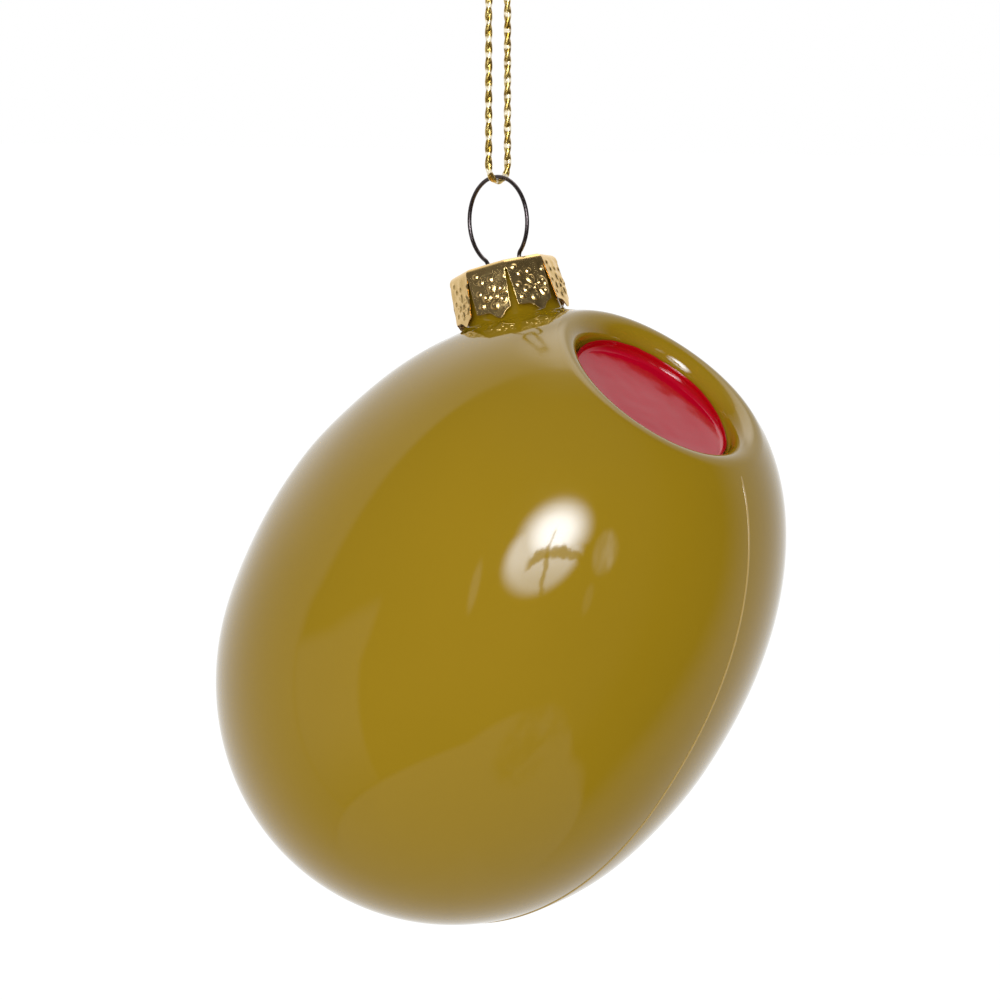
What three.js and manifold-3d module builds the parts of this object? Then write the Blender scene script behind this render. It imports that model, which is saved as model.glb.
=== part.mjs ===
// Olive bauble: a blown glass olive with a red pimento in its end, a stamped crown cap on its neck,
// a spring wire loop through the cap and a gold cord through the loop.
// Millimetres and degrees, +Z up. +X points from the neck towards the pimento end, in the plane of
// the mould seam. The origin is the middle of the knot from which the bauble hangs.

import * as THREE from 'three';
import { mergeVertices } from 'three/addons/utils/BufferGeometryUtils.js';
import Module from 'manifold-3d';

const wasm = await Module();
wasm.setup();

// Gap between pieces that touch or seat on each other
const CLEARANCE = 0.3;

// Olive: blown to a full egg shape, wider at the blossom end and blunter at the pimento end
const OLIVE_LENGTH = 80.3;
const OLIVE_WIDTH = 61;
const BLOSSOM_FULLNESS = 2.05; // exponent of the outline: 2 is an ellipse, more is blunter
const PIMENTO_FULLNESS = 2.42;
const OLIVE_TAPER = 0.078; // share of the width lost from the middle to the pimento end
const PIMENTO_WAIST = 0.035; // further share lost there, with the square of the distance
const OLIVE_RISE = 51.2; // long axis above the horizontal, as it hangs
const GLASS_WALL = 1;
const BLOSSOM_GAIN = 0.12; // extra wall at the blossom end, and as much less at the other end

// Recess for the pimento, pressed into the upper end of the olive, a little narrower at its floor
const RECESS_RADIUS = 10.75; // at the mouth, inside the rounded lip
const RECESS_FLOOR_RADIUS = 10.3;
const RECESS_DEPTH = 4; // from the crest of the lip to the glass floor
const LIP_RADIUS = 2.2;
const RECESS_FILLET = 0.8;

// Pimento: a pool of red enamel that creeps up the wall of the recess
const ENAMEL_THICKNESS = 0.5;
const ENAMEL_CREEP = 1.9; // height of its edge above its underside
const ENAMEL_EDGE = 0.25;
const ENAMEL_MENISCUS = 1.1;

// Mould seam, a fine ridge round the olive in the plane of its long axis and its neck
const SEAM_HEIGHT = 0.25;
const SEAM_WIDTH = 0.5;
const SEAM_ROOT = 0.5; // depth of the ridge's root inside the glass

// Neck
const NECK_TILT = 17.1; // lean of the neck's axis from the vertical, away from the pimento
const NECK_OFFSET = 12.4; // from the middle of the olive to the neck's axis
const NECK_RIM_RADIUS = 5.3;
const NECK_ROOT_RADIUS = 5.85;
const NECK_FILLET = 0.75;
const RIM_ROUNDING = 0.35;
const BORE_RADIUS = 4.6;
const BORE_REACH = 12; // how far the bore's cutter runs down, past the glass and into the hollow

// Crown cap: one stamped sheet with an eight-sided top and eight petals
const PETALS = 8;
const CAP_STAND = 6.06; // top of the cap above the olive's skin, along the neck's axis
const CAP_SHEET = 0.3;
const CAP_TOP_RADIUS = 6.55; // to the corners, at the fold
const CAP_SKIRT_RADIUS = 7.15; // to the corners, at the foot of the petals
const CAP_HEIGHT = 5.5; // to the corners of the petals
const CAP_FOLD = 0.6; // outer radius of the fold between the top and the petals
const LOBE_DROP = 0.56; // how far the middle of a petal hangs below its corners
const SLIT_TOP = 1; // where the slits between the petals begin, below the top of the cap
const SLIT_TOP_WIDTH = 0.24;
const SLIT_FOOT_WIDTH = 1;
const CAP_TURN = -6.4; // a corner of the crown from the seam's plane, round the neck's axis

// Spring wire: an open loop with two straight legs
const WIRE_DIAMETER = 0.5;
const WIRE_SIDES = 8;
const LOOP_RADIUS = 5.3;
const LOOP_RISE = 5.15; // middle of the loop above the top of the cap
const LOOP_SHIFT = 0.92; // the loop lies over to one side, so that it hangs plumb
const LEG_SPACING = 6.2; // between the legs where they pass through the cap
const LEG_SHIFT = 0.7; // play taken up in the cap's slots
const LEG_LENGTH = 9.6; // below the top of the cap
const LEG_SPLAY = 0.05; // how much further apart each leg is at its tip
const KNEE = 0.35; // reach of the bend between the loop and a leg
const SLOT_LENGTH = 2.6;
const SLOT_WIDTH = 1.3;
const HOLE_TURN = -13; // line of the slots from the seam's plane, round the neck's axis

// Gold cord, in one length through the loop, and the knot that ties its ends
const CORD_DIAMETER = 0.95;
const CORD_SIDES = 8;
const CORD_STEPS = 52;
const KNOT_RADIUS = 2.1;
const TAIL_REACH = 8.2; // tips of the tails above the middle of the knot
const TAIL_SPREAD = 2.2; // of each tip to its side

// Route of the cord from one side of the knot, round under the wire and back: Y and Z
const CORD_ROUTE = [
  [-0.9, -2.23], [-1.24, -3.1], [-1.58, -4.2], [-1.81, -5.4], [-1.9, -6.9], [-1.9, -10], [-1.9, -14],
  [-1.9, -18], [-1.9, -22], [-1.9, -24.6], [-1.9, -25.83], [-1.76, -26.56], [-1.34, -27.17],
  [-0.73, -27.59], [0, -27.73], [0.73, -27.59], [1.34, -27.17], [1.76, -26.56], [1.9, -25.83],
  [1.9, -24.6], [1.9, -22], [1.9, -18], [1.9, -14], [1.9, -10], [1.9, -6.9], [1.81, -5.4],
  [1.58, -4.2], [1.24, -3.1], [0.9, -2.23],
];
const cordLowest = Math.min(...CORD_ROUTE.map(([, z]) => z));

// Facets round each form
const OLIVE_SEGMENTS = 56;
const OLIVE_STATIONS = 30;
const CAVITY_SEGMENTS = 36;
const CAVITY_STATIONS = 18;
const ARC_STEPS = 4;
const NECK_SEGMENTS = 40;
const SEAM_STATIONS = 36;
const LOOP_STEPS = 26;
const WIRE_STEPS = 96;
const KNOT_SEGMENTS = 20;
const KNOT_STATIONS = 14;
const TAIL_STEPS = 6;

const TANGENT_STEP = 1e-3; // radians to each side for a tangent of the outline
const HALVINGS = 50; // of an interval, for a crossing

const degrees = THREE.MathUtils.degToRad;
const UP = new THREE.Vector3(0, 0, 1);

// Solids and booleans

function toManifold(geometry, matrix) {
  const bare = geometry.clone();
  for (const name of Object.keys(bare.attributes)) {
    if (name !== 'position') bare.deleteAttribute(name);
  }
  if (matrix) bare.applyMatrix4(matrix);
  const merged = mergeVertices(bare, 1e-4);
  const index = merged.index.array;
  const triVerts = [];
  for (let i = 0; i < index.length; i += 3) {
    const [a, b, c] = [index[i], index[i + 1], index[i + 2]];
    if (a !== b && b !== c && c !== a) triVerts.push(a, b, c);
  }
  return new wasm.Manifold(new wasm.Mesh({
    numProp: 3,
    vertProperties: Float32Array.from(merged.attributes.position.array),
    triVerts: Uint32Array.from(triVerts),
  }));
}

function toGeometry(solid) {
  const { vertProperties, triVerts } = solid.getMesh();
  const geometry = new THREE.BufferGeometry();
  geometry.setAttribute('position', new THREE.BufferAttribute(vertProperties, 3));
  geometry.setIndex(new THREE.BufferAttribute(triVerts, 1));
  geometry.computeVertexNormals();
  return geometry;
}

// A profile of radius and height, turned round the Z axis
function turned(profile, segments) {
  const geometry = new THREE.LatheGeometry(profile, segments);
  return geometry.rotateX(Math.PI / 2);
}

// Rings of equal count from bottom to top, skinned and closed by a fan at each end
function lofted(rings) {
  const count = rings[0].length;
  const middle = (ring) => ring
    .reduce((sum, point) => sum.add(point), new THREE.Vector3())
    .divideScalar(count);
  const points = rings.flat().concat([middle(rings[0]), middle(rings.at(-1))]);
  const [first, last] = [points.length - 2, points.length - 1];
  const top = (rings.length - 1) * count;
  const index = [];
  for (let i = 0; i < count; i += 1) {
    const next = (i + 1) % count;
    index.push(first, next, i);
    index.push(last, top + i, top + next);
    for (let base = 0; base < top; base += count) {
      index.push(base + i, base + next, base + count + next);
      index.push(base + i, base + count + next, base + count + i);
    }
  }
  const geometry = new THREE.BufferGeometry().setFromPoints(points);
  geometry.setIndex(index);
  return geometry;
}

// A round tube along a curve, with flat ends
function tube(curve, diameter, sides, steps) {
  const section = new THREE.Shape();
  for (let i = 0; i < sides; i += 1) {
    const angle = (2 * Math.PI * i) / sides;
    const [x, y] = [Math.cos(angle) * diameter / 2, Math.sin(angle) * diameter / 2];
    if (i) section.lineTo(x, y);
    else section.moveTo(x, y);
  }
  return new THREE.ExtrudeGeometry(section, { steps, extrudePath: curve });
}

// Points of an arc in a profile, from one angle to another about a centre
function arc(centreR, centreU, radius, from, to, steps = ARC_STEPS) {
  return Array.from({ length: steps + 1 }, (_, i) => {
    const angle = from + ((to - from) * i) / steps;
    return new THREE.Vector2(centreR + radius * Math.cos(angle), centreU + radius * Math.sin(angle));
  });
}

// Outline of the olive. Height U runs along the long axis, from the blossom end to the pimento.

const fullnessAt = (u) => (u > 0 ? PIMENTO_FULLNESS : BLOSSOM_FULLNESS);

function oliveRadiusAt(u) {
  const share = THREE.MathUtils.clamp(u / (OLIVE_LENGTH / 2), -1, 1);
  const fullness = fullnessAt(u);
  const round = (1 - Math.abs(share) ** fullness) ** (1 / fullness);
  const waist = PIMENTO_WAIST * Math.max(share, 0) ** 2;
  return (OLIVE_WIDTH / 2) * round * (1 - OLIVE_TAPER * share - waist);
}

// A point of the outline at an angle from the pimento end, with its outward normal
function outlinePoint(angle) {
  const cosine = Math.cos(angle);
  const share = Math.abs(cosine) ** (2 / fullnessAt(cosine));
  const u = (OLIVE_LENGTH / 2) * Math.sign(cosine) * share;
  return new THREE.Vector2(oliveRadiusAt(u), u);
}

function outlineAt(angle) {
  const point = outlinePoint(angle);
  if (angle >= Math.PI) return { point, normal: new THREE.Vector2(0, -1) };
  const tangent = outlinePoint(Math.min(angle + TANGENT_STEP, Math.PI))
    .sub(outlinePoint(angle - TANGENT_STEP));
  return { point, normal: new THREE.Vector2(-tangent.y, tangent.x).normalize() };
}

function outlineInset(angle, depth) {
  const { point, normal } = outlineAt(angle);
  return point.addScaledVector(normal, -depth);
}

// Wall of the glass, which gathers a little at the blossom end
const wallAt = (angle) => GLASS_WALL - BLOSSOM_GAIN * Math.cos(angle);

// Angle at which the outline runs into the lip: there the lip's centre lies beside the recess
function findLipAngle() {
  let [low, high] = [0.05, Math.PI / 2];
  for (let i = 0; i < HALVINGS; i += 1) {
    const middle = (low + high) / 2;
    if (outlineInset(middle, LIP_RADIUS).x < RECESS_RADIUS + LIP_RADIUS) low = middle;
    else high = middle;
  }
  return (low + high) / 2;
}
const lipAngle = findLipAngle();
const lipCentre = outlineInset(lipAngle, LIP_RADIUS);
const { normal: lipNormal } = outlineAt(lipAngle);
const lipCrest = lipCentre.y + LIP_RADIUS;
const recessFloor = lipCrest - RECESS_DEPTH;

// Outline from the blossom end to the lip, over it, down into the recess and in to the axis.
// The same route inset by the wall bounds the hollow.
function oliveProfile(inset, stations) {
  const lipStart = Math.atan2(lipNormal.y, lipNormal.x);
  const side = Array.from({ length: stations }, (_, i) => {
    const angle = Math.PI + ((lipAngle - Math.PI) * i) / stations;
    const point = outlineInset(angle, inset ? wallAt(angle) : 0);
    return i ? point : point.setX(0);
  });
  const depth = inset ? wallAt(lipAngle) : 0;
  const corner = [RECESS_FLOOR_RADIUS - RECESS_FILLET, recessFloor + RECESS_FILLET];
  return [
    ...side,
    ...arc(lipCentre.x, lipCentre.y, LIP_RADIUS - depth, lipStart, Math.PI),
    ...arc(...corner, RECESS_FILLET + depth, 0, -Math.PI / 2),
    new THREE.Vector2(0, recessFloor - depth),
  ];
}

// Frame of the neck: its axis, and the direction across it in the seam's plane
const neckAxis = new THREE.Vector3(-Math.sin(degrees(NECK_TILT)), 0, Math.cos(degrees(NECK_TILT)));
const neckAcross = new THREE.Vector3(neckAxis.z, 0, -neckAxis.x);
const longAxis = new THREE.Vector3(Math.cos(degrees(OLIVE_RISE)), 0, Math.sin(degrees(OLIVE_RISE)));

// Height along the neck's axis at which a line beside it leaves the olive
function skinHeight(angle, radius) {
  const foot = neckAcross.clone().multiplyScalar(NECK_OFFSET + radius * Math.cos(angle));
  foot.y += radius * Math.sin(angle);
  let [low, high] = [0, OLIVE_LENGTH];
  for (let i = 0; i < HALVINGS; i += 1) {
    const middle = (low + high) / 2;
    const point = foot.clone().addScaledVector(neckAxis, middle);
    const u = point.dot(longAxis);
    const off = point.addScaledVector(longAxis, -u).length();
    if (Math.abs(u) < OLIVE_LENGTH / 2 && off < oliveRadiusAt(u)) low = middle;
    else high = middle;
  }
  return (low + high) / 2;
}

// Middle of the cap's top, from the middle of the olive
const capTop = neckAcross.clone().multiplyScalar(NECK_OFFSET)
  .addScaledVector(neckAxis, skinHeight(0, 0) + CAP_STAND);
const capHeightOnAxis = capTop.dot(neckAxis);
const rimHeight = capHeightOnAxis - CAP_SHEET - CLEARANCE;

function neckRing(pointAt) {
  return Array.from({ length: NECK_SEGMENTS }, (_, i) => {
    const angle = (2 * Math.PI * i) / NECK_SEGMENTS;
    const [radius, height] = pointAt(angle);
    const point = neckAcross.clone().multiplyScalar(NECK_OFFSET + radius * Math.cos(angle));
    point.y += radius * Math.sin(angle);
    return point.addScaledVector(neckAxis, height);
  });
}

// Outside of the neck: an even fillet off the olive's skin, a slight taper and a rounded rim
function neckOutside() {
  const spread = NECK_ROOT_RADIUS + NECK_FILLET;
  const rings = [
    neckRing((angle) => [spread, skinHeight(angle, spread) - GLASS_WALL]),
    neckRing((angle) => [spread, skinHeight(angle, spread) - 0.04]),
  ];
  for (let i = 1; i <= ARC_STEPS; i += 1) {
    const t = i / ARC_STEPS;
    rings.push(neckRing((angle) => {
      const skin = skinHeight(angle, spread);
      const corner = skinHeight(angle, NECK_ROOT_RADIUS);
      const height = (1 - t) ** 2 * skin + 2 * t * (1 - t) * corner + t ** 2 * (corner + NECK_FILLET);
      return [spread - NECK_FILLET * (2 * t - t ** 2), height];
    }));
  }
  for (let i = 0; i <= ARC_STEPS; i += 1) {
    const turn = (Math.PI / 2) * (i / ARC_STEPS);
    const radius = NECK_RIM_RADIUS - RIM_ROUNDING * (1 - Math.cos(turn));
    const height = rimHeight - RIM_ROUNDING * (1 - Math.sin(turn));
    rings.push(neckRing(() => [radius, height]));
  }
  return toManifold(lofted(rings));
}

function neckBore() {
  const length = BORE_REACH + CAP_STAND;
  const bore = new THREE.CylinderGeometry(BORE_RADIUS, BORE_RADIUS, length, NECK_SEGMENTS);
  bore.rotateX(Math.PI / 2);
  bore.rotateY(-degrees(NECK_TILT));
  const middle = capTop.clone().addScaledVector(neckAxis, -length / 2);
  bore.translate(middle.x, middle.y, middle.z);
  return toManifold(bore);
}

// Ridge of the seam: a band that follows the outline from lip to lip, round the blossom end
function seamRidge() {
  const edge = (inset) => {
    const half = Array.from({ length: SEAM_STATIONS + 1 }, (_, i) => {
      const angle = lipAngle + ((Math.PI - lipAngle) * i) / SEAM_STATIONS;
      return outlineInset(angle, inset);
    });
    half.at(-1).setX(0);
    const mirrored = half.slice(0, -1).reverse().map((point) => new THREE.Vector2(-point.x, point.y));
    return half.concat(mirrored);
  };
  const band = new THREE.Shape(edge(-SEAM_HEIGHT).concat(edge(SEAM_ROOT).reverse()));
  const ridge = new THREE.ExtrudeGeometry(band, { depth: SEAM_WIDTH, bevelEnabled: false });
  ridge.translate(0, 0, -SEAM_WIDTH / 2);
  return toManifold(ridge.rotateX(Math.PI / 2));
}

// Long axis from +Z to its place in the hanging olive
const leaning = new THREE.Matrix4().makeRotationY(Math.PI / 2 - degrees(OLIVE_RISE));

function glassGeometry() {
  const outside = toManifold(turned(oliveProfile(false, OLIVE_STATIONS), OLIVE_SEGMENTS), leaning);
  const hollow = toManifold(turned(oliveProfile(true, CAVITY_STATIONS), CAVITY_SEGMENTS), leaning);
  const ridge = seamRidge().transform(leaning.toArray());
  return toGeometry(outside.add(neckOutside()).add(ridge).subtract(hollow).subtract(neckBore()));
}

// Enamel, turned round the olive's long axis: a flat pool with a concave edge
function enamelGeometry() {
  const edge = RECESS_FLOOR_RADIUS - CLEARANCE;
  const under = recessFloor + CLEARANCE;
  const surface = under + ENAMEL_THICKNESS;
  const crest = under + ENAMEL_CREEP;
  const inner = edge - ENAMEL_EDGE;
  const slope = new THREE.QuadraticBezierCurve(
    new THREE.Vector2(inner, crest),
    new THREE.Vector2(inner - ENAMEL_EDGE, surface),
    new THREE.Vector2(inner - ENAMEL_EDGE - ENAMEL_MENISCUS, surface),
  );
  const profile = [
    new THREE.Vector2(0, under),
    ...arc(edge - RECESS_FILLET, under + RECESS_FILLET, RECESS_FILLET, -Math.PI / 2, 0),
    new THREE.Vector2(edge, crest),
    ...slope.getPoints(ARC_STEPS + 1),
    new THREE.Vector2(0, surface),
  ];
  return toGeometry(toManifold(turned(profile, CAVITY_SEGMENTS)));
}

// Cap, in its own frame: Z along the neck's axis, the top of the sheet at zero

// Half section of the crown through its corners: top, fold, flaring side and back up inside
function crownProfile() {
  const foot = CAP_HEIGHT + LOBE_DROP;
  const flare = Math.atan2(CAP_SKIRT_RADIUS - CAP_TOP_RADIUS, CAP_HEIGHT);
  const reach = CAP_TOP_RADIUS + Math.tan(flare) * foot;
  const centre = [CAP_TOP_RADIUS - CAP_FOLD, -CAP_FOLD];
  const inner = CAP_FOLD - CAP_SHEET;
  return [
    new THREE.Vector2(0, -CAP_SHEET),
    ...arc(...centre, inner, Math.PI / 2, flare),
    new THREE.Vector2(reach - CAP_SHEET, -foot),
    new THREE.Vector2(reach, -foot),
    ...arc(...centre, CAP_FOLD, flare, Math.PI / 2),
    new THREE.Vector2(0, 0),
  ];
}

// Cut at one corner: a slit that widens downwards and then spreads along two petals' lobed edges
function cornerCut() {
  const face = CAP_SKIRT_RADIUS * Math.sin(Math.PI / PETALS) * Math.cos(Math.PI / PETALS);
  const below = CAP_HEIGHT + LOBE_DROP;
  const [top, foot] = [SLIT_TOP_WIDTH / 2, SLIT_FOOT_WIDTH / 2];
  const shoulder = foot + face / 4;
  const cut = new THREE.Shape();
  cut.moveTo(-top, -SLIT_TOP);
  cut.lineTo(-foot, -CAP_HEIGHT);
  cut.quadraticCurveTo(-shoulder, -CAP_HEIGHT, -shoulder, -CAP_HEIGHT - LOBE_DROP / 2);
  cut.quadraticCurveTo(-shoulder, -below, -face, -below);
  cut.lineTo(-face, -below - 1);
  cut.lineTo(face, -below - 1);
  cut.lineTo(face, -below);
  cut.quadraticCurveTo(shoulder, -below, shoulder, -CAP_HEIGHT - LOBE_DROP / 2);
  cut.quadraticCurveTo(shoulder, -CAP_HEIGHT, foot, -CAP_HEIGHT);
  cut.lineTo(top, -SLIT_TOP);
  const through = CAP_SKIRT_RADIUS;
  const cutter = new THREE.ExtrudeGeometry(cut, { depth: through, bevelEnabled: false, curveSegments: 4 });
  cutter.translate(0, 0, CAP_TOP_RADIUS / 2);
  // The shape's X goes across the corner, its Y up the cap and its depth outwards
  cutter.rotateX(Math.PI / 2);
  return cutter.rotateZ(Math.PI / 2);
}

// A slot in the cap's top for one leg, long in the direction of both slots
function legSlot(middle) {
  const half = (SLOT_LENGTH - SLOT_WIDTH) / 2;
  const outline = new THREE.Shape();
  outline.absarc(middle + half, 0, SLOT_WIDTH / 2, -Math.PI / 2, Math.PI / 2, false);
  outline.absarc(middle - half, 0, SLOT_WIDTH / 2, Math.PI / 2, (3 * Math.PI) / 2, false);
  const slot = new THREE.ExtrudeGeometry(outline, {
    depth: 4 * CAP_SHEET, bevelEnabled: false, curveSegments: 6,
  });
  return slot.translate(0, 0, -3 * CAP_SHEET);
}

function capGeometry() {
  let crown = toManifold(turned(crownProfile(), PETALS), new THREE.Matrix4().makeRotationZ(degrees(CAP_TURN)));
  for (let i = 0; i < PETALS; i += 1) {
    const turn = new THREE.Matrix4().makeRotationZ(degrees(CAP_TURN) + (2 * Math.PI * i) / PETALS);
    crown = crown.subtract(toManifold(cornerCut(), turn));
  }
  for (const side of [-1, 1]) {
    const turn = new THREE.Matrix4().makeRotationZ(degrees(HOLE_TURN));
    crown = crown.subtract(toManifold(legSlot((side * LEG_SPACING) / 2), turn));
  }
  return toGeometry(crown);
}

// Hanger wire, in its own frame: X along the slots, Z up the loop, the cap's top at zero

function wireRoute() {
  const loopHeight = (x) => LOOP_RISE - Math.sqrt(LOOP_RADIUS ** 2 - (x - LOOP_SHIFT) ** 2);
  const at = (x, z) => new THREE.Vector3(x, 0, z);
  const leg = (side) => {
    const x = LEG_SHIFT + (side * LEG_SPACING) / 2;
    const knee = loopHeight(x);
    const tip = x + side * LEG_SPLAY;
    return [
      at(tip, -LEG_LENGTH),
      at(THREE.MathUtils.lerp(tip, x, 0.5), -LEG_LENGTH / 2),
      at(x, -CAP_SHEET - KNEE),
      at(x, knee - KNEE),
    ];
  };
  const angleOf = (side) => {
    const x = LEG_SHIFT + (side * LEG_SPACING) / 2 - LOOP_SHIFT;
    return Math.atan2(loopHeight(x + LOOP_SHIFT) - LOOP_RISE, x);
  };
  const start = angleOf(-1) + 2 * Math.PI - KNEE / LOOP_RADIUS;
  const end = angleOf(1) + KNEE / LOOP_RADIUS;
  const loop = Array.from({ length: LOOP_STEPS + 1 }, (_, i) => {
    const angle = start + ((end - start) * i) / LOOP_STEPS;
    return at(LOOP_SHIFT + LOOP_RADIUS * Math.cos(angle), LOOP_RISE + LOOP_RADIUS * Math.sin(angle));
  });
  return [...leg(-1), ...loop, ...leg(1).reverse()];
}

function wireGeometry() {
  const curve = new THREE.CatmullRomCurve3(wireRoute(), false, 'centripetal');
  return toGeometry(toManifold(tube(curve, WIRE_DIAMETER, WIRE_SIDES, WIRE_STEPS)));
}

// Cord and knot, in the frame of the whole bauble

function cordGeometry() {
  const points = CORD_ROUTE.map(([y, z]) => new THREE.Vector3(0, y, z));
  const curve = new THREE.CatmullRomCurve3(points, false, 'centripetal');
  return toGeometry(toManifold(tube(curve, CORD_DIAMETER, CORD_SIDES, CORD_STEPS)));
}

function knotGeometry() {
  let knot = toManifold(new THREE.SphereGeometry(KNOT_RADIUS, KNOT_SEGMENTS, KNOT_STATIONS));
  for (const side of [-1, 1]) {
    const tip = new THREE.Vector3(0.15 * TAIL_SPREAD * side, TAIL_SPREAD * side, TAIL_REACH);
    const tail = new THREE.CatmullRomCurve3([
      new THREE.Vector3(0, 0.1 * tip.y, 0.4 * KNOT_RADIUS),
      new THREE.Vector3(0.5 * tip.x, 0.3 * tip.y, 1.1 * KNOT_RADIUS),
      new THREE.Vector3(tip.x, 0.55 * tip.y, 0.7 * TAIL_REACH),
      tip,
    ]);
    knot = knot.add(toManifold(tube(tail, CORD_DIAMETER, CORD_SIDES, TAIL_STEPS)));
  }
  return toGeometry(knot);
}

// Assembly

function piece(name, geometry, colour, roughness, metalness) {
  const material = new THREE.MeshStandardMaterial({ color: colour, roughness, metalness });
  const mesh = new THREE.Mesh(geometry, material);
  mesh.name = name;
  return mesh;
}

// The neck's frame carries the cap, and the hanger tilts in the cap until its loop hangs upright
function placeOnNeck(object) {
  object.position.copy(capTop);
  object.rotation.y = -degrees(NECK_TILT);
  return object;
}
const hangerTilt = Math.atan(Math.sin(degrees(HOLE_TURN)) * Math.tan(degrees(NECK_TILT)));

const enamel = piece('pimento_enamel', enamelGeometry(), '#b4101c', 0.25, 0);
enamel.rotation.y = Math.PI / 2 - degrees(OLIVE_RISE);

const glass = piece('glass_body', glassGeometry(), '#96791c', 0.12, 0);

const cap = placeOnNeck(piece('cap_crown', capGeometry(), '#c79a45', 0.28, 1));

const hanger = piece('hanger_wire', wireGeometry(), '#6a6664', 0.3, 1);
hanger.rotation.x = hangerTilt;
const slotLine = new THREE.Group();
slotLine.rotation.z = degrees(HOLE_TURN);
slotLine.add(hanger);
const neckFrame = placeOnNeck(new THREE.Group());
neckFrame.add(slotLine);

// The bauble hangs with the top of its loop under the knot, resting in the bight of the cord
neckFrame.updateMatrixWorld(true);
const loopTop = new THREE.Vector3(LOOP_SHIFT, 0, LOOP_RISE).applyMatrix4(hanger.matrixWorld)
  .addScaledVector(UP, LOOP_RADIUS);
const wireInBight = new THREE.Vector3(0, 0, cordLowest + (CORD_DIAMETER + WIRE_DIAMETER) / 2 + CLEARANCE);

const bauble = new THREE.Group();
bauble.position.copy(wireInBight).sub(loopTop);
bauble.add(glass, enamel, cap, neckFrame);

const part = new THREE.Group();
part.add(bauble);
part.add(piece('cord_loop', cordGeometry(), '#b08a35', 0.45, 0.6));
part.add(piece('cord_knot', knotGeometry(), '#b08a35', 0.45, 0.6));

export default part;
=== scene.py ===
"""Olive bauble: blown glass, red pimento, stamped gold cap, spring wire and a twisted gold cord.

Lengths are millimetres, apart from those of the floor and the lamp, and turn to metres as a mesh is
made. The olive's long axis, the neck and the cap have frames of their own, and every piece is set
out in one of them.
"""

import collections
import functools
import math

import bmesh
import bpy
import numpy as np
from mathutils import Matrix, Vector, geometry, kdtree, noise


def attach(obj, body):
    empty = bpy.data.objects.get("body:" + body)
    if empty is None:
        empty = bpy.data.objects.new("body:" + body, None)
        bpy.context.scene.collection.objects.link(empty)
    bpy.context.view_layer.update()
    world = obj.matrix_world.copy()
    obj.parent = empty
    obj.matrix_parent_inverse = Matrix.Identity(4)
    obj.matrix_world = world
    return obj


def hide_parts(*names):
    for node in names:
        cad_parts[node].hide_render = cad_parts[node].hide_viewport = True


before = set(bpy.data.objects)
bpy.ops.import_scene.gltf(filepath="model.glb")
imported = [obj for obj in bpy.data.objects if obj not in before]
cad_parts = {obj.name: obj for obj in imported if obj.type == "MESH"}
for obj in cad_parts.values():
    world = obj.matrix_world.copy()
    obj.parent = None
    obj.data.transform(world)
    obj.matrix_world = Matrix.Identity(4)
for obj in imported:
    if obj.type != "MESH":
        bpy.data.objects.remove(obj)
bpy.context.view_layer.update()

MM = 0.001
TAU = 2 * math.pi


def unit(vector):
    return vector / np.linalg.norm(vector)


def stand(thing, right, up, back, place):
    """Puts a thing in the scene, with its axes along the given ones, at a place in metres."""
    rows = [[float(v[i]) for v in (right, up, back, place)] for i in range(3)]
    thing.matrix_world = Matrix(rows + [[0, 0, 0, 1]])
    bpy.context.scene.collection.objects.link(thing)


def bisected(low, high, below):
    """Where a test that holds at first stops holding."""
    for _ in range(50):
        middle = (low + high) / 2
        low, high = (middle, high) if below(middle) else (low, middle)
    return (low + high) / 2


# Frames, as the bauble hangs

OLIVE_CENTRE = np.array((0.6291511, -0.1394824, -79.5418135))
OLIVE_RISE = math.radians(51.2)
NECK_TILT = math.radians(17.1)
HOLE_TURN = math.radians(-13)
HANGER_TILT = math.radians(-3.96)
NECK_OFFSET = 12.4
CAP_TOP_HEIGHT = 40.4825
SIDE = np.array((0.0, 1.0, 0.0))
LONG = np.array((math.cos(OLIVE_RISE), 0, math.sin(OLIVE_RISE)))
ACROSS = np.array((-math.sin(OLIVE_RISE), 0, math.cos(OLIVE_RISE)))
NECK = np.array((-math.sin(NECK_TILT), 0, math.cos(NECK_TILT)))
NECK_ACROSS = np.array((math.cos(NECK_TILT), 0, math.sin(NECK_TILT)))
CAP_TOP = OLIVE_CENTRE + NECK_ACROSS * NECK_OFFSET + NECK * CAP_TOP_HEIGHT

# Camera

VIEW_AZIMUTH = math.radians(36)
VIEW_ELEVATION = math.radians(5.06)
VIEW_DISTANCE = 600
VIEW_RIGHT = np.array((math.cos(VIEW_AZIMUTH), math.sin(VIEW_AZIMUTH), 0))
VIEW_BACK = np.array((
    math.sin(VIEW_AZIMUTH) * math.cos(VIEW_ELEVATION),
    -math.cos(VIEW_AZIMUTH) * math.cos(VIEW_ELEVATION),
    math.sin(VIEW_ELEVATION),
))
VIEW_UP = np.cross(VIEW_BACK, VIEW_RIGHT)
EYE_RIGHT, EYE_UP = -0.204, 14.153

camera_data = bpy.data.cameras.new("camera")
camera_data.lens = 180
camera_data.sensor_width = 36
camera_data.clip_start = 0.01
camera_data.clip_end = 50
camera = bpy.data.objects.new("camera", camera_data)
eye = OLIVE_CENTRE + VIEW_BACK * VIEW_DISTANCE + VIEW_RIGHT * EYE_RIGHT + VIEW_UP * EYE_UP
stand(camera, VIEW_RIGHT, VIEW_UP, VIEW_BACK, eye * MM)
bpy.context.scene.camera = camera


# Meshes


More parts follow.
